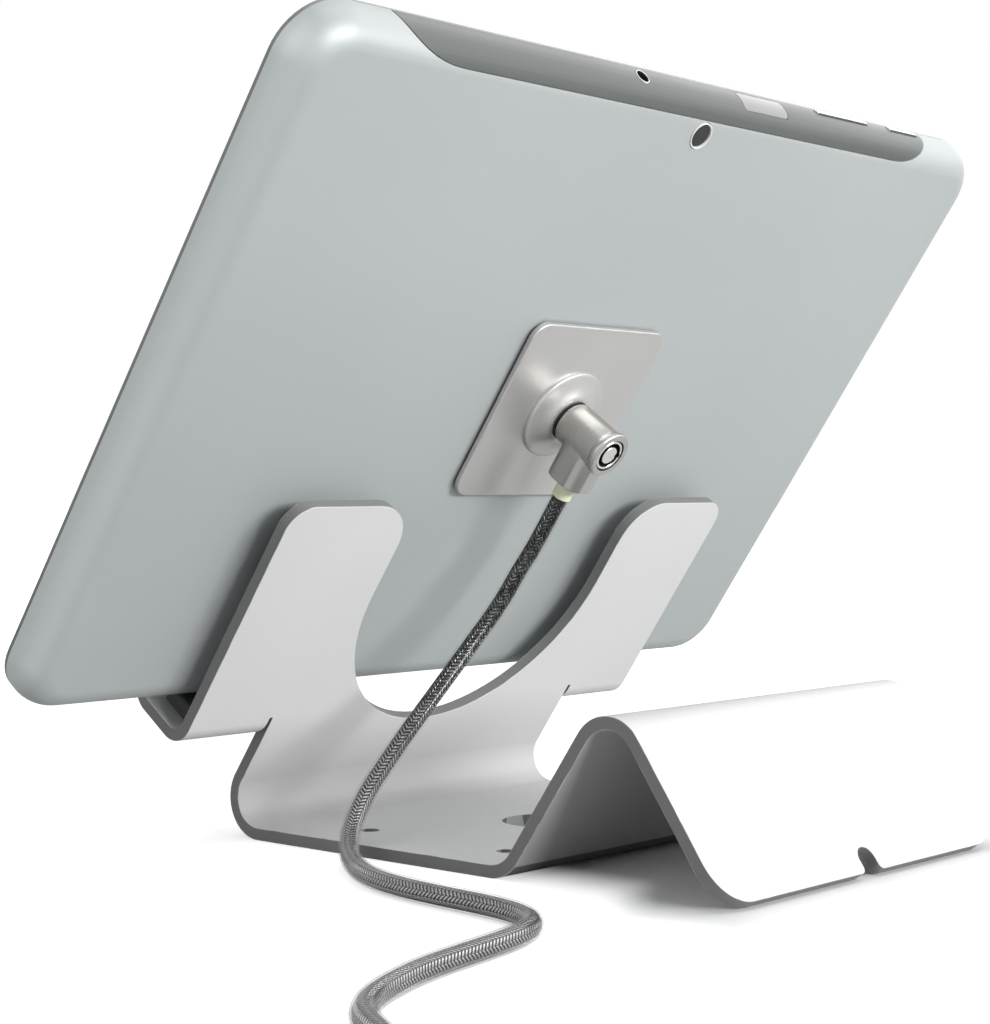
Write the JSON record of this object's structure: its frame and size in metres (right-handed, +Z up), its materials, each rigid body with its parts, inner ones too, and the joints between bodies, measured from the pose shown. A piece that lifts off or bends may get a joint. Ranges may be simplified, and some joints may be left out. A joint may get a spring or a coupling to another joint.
{
  "type": "tablet security kiosk stand",
  "caption": "Bent aluminium sheet stand that holds a tablet in two padded hooks, with a key lock on a bonded back plate and a jacketed steel cable ending in a crimped eye.",
  "frame": {"origin": "on the table plane, centred under the stand and tablet (cable left out)", "axes": "+X across the tablet, towards the cable's side; +Y from the screen towards the back; +Z up"},
  "size_m": [0.4188, 0.27, 0.1839],
  "materials": {
    "sheet": "satin anodised",
    "rubber": "matte",
    "cover": "satin silver paint",
    "band": "satin",
    "pale": "gloss white",
    "bezel": "gloss black",
    "glass": "polished",
    "inner": "matte",
    "board": "solder mask",
    "screw": "plated",
    "foam": "adhesive foam",
    "plate": "satin",
    "lock": "satin nickel",
    "pins": "plain",
    "sleeve": "translucent pale",
    "cable": "braided wire in a clear jacket",
    "crimp": "pressed",
    "tie": "woven"
  },
  "bodies": {
    "stand": {"stand_sheet": "sheet", "arm_pads": "rubber", "hook_liners": "rubber", "cable_lead": "cable", "cable_coil": "cable", "coil_tie": "tie", "eye_crimp": "crimp", "anchor_eye": "cable"},
    "tablet": {"rear_cover": "cover", "top_band": "band", "front_bezel": "bezel", "front_glass": "glass", "display_panel": "inner", "battery": "inner", "main_board": "board", "board_screws": "screw", "rear_camera": "inner", "lens_ring": "pale", "rear_lens": "glass", "front_camera": "inner", "speaker_units": "inner", "speaker_meshes": "inner", "jack_socket": "inner", "dock_socket": "inner", "bond_pad": "foam", "security_plate": "plate", "lock_boss": "plate", "lock_washer": "foam", "lock_housing": "lock", "keeper_pin": "screw", "cable_ferrule": "screw", "cable_sleeve": "sleeve"},
    "key": {"key_plug": "lock", "tumbler_pins": "pins", "t_bar": "lock"},
    "power": {"power_button": "band"},
    "volume": {"volume_rocker": "band"},
    "flap": {"card_cover": "pale"}
  },
  "joints": [
    {"name": "tablet_lift", "type": "slide", "parent": "stand", "child": "tablet", "axis": [0, 0.5736, 0.8192], "range_m": [0, 0.04], "deforming": ["cable_lead"]},
    {"name": "key_turn", "type": "hinge", "parent": "tablet", "child": "key", "pos_m": [0, -0.00614, 0.10076], "axis": [0, -0.8192, 0.5736], "range_deg": [0, 90]},
    {"name": "power_press", "type": "slide", "parent": "tablet", "child": "power", "axis": [0, -0.5736, -0.8192], "range_m": [0, 0.0003], "stiffness_N_per_m": 5000},
    {"name": "volume_rock", "type": "hinge", "parent": "tablet", "child": "volume", "pos_m": [-0.061, 0.0295, 0.18147], "axis": [0, -0.8192, 0.5736], "range_deg": [-1.2, 1.2], "stiffness_Nm_per_rad": 0.8},
    {"name": "card_flap", "type": "hinge", "parent": "tablet", "child": "flap", "pos_m": [-0.0143, 0.0318, 0.18119], "axis": [0, 0.8192, -0.5736], "range_deg": [0, 80]}
  ]
}
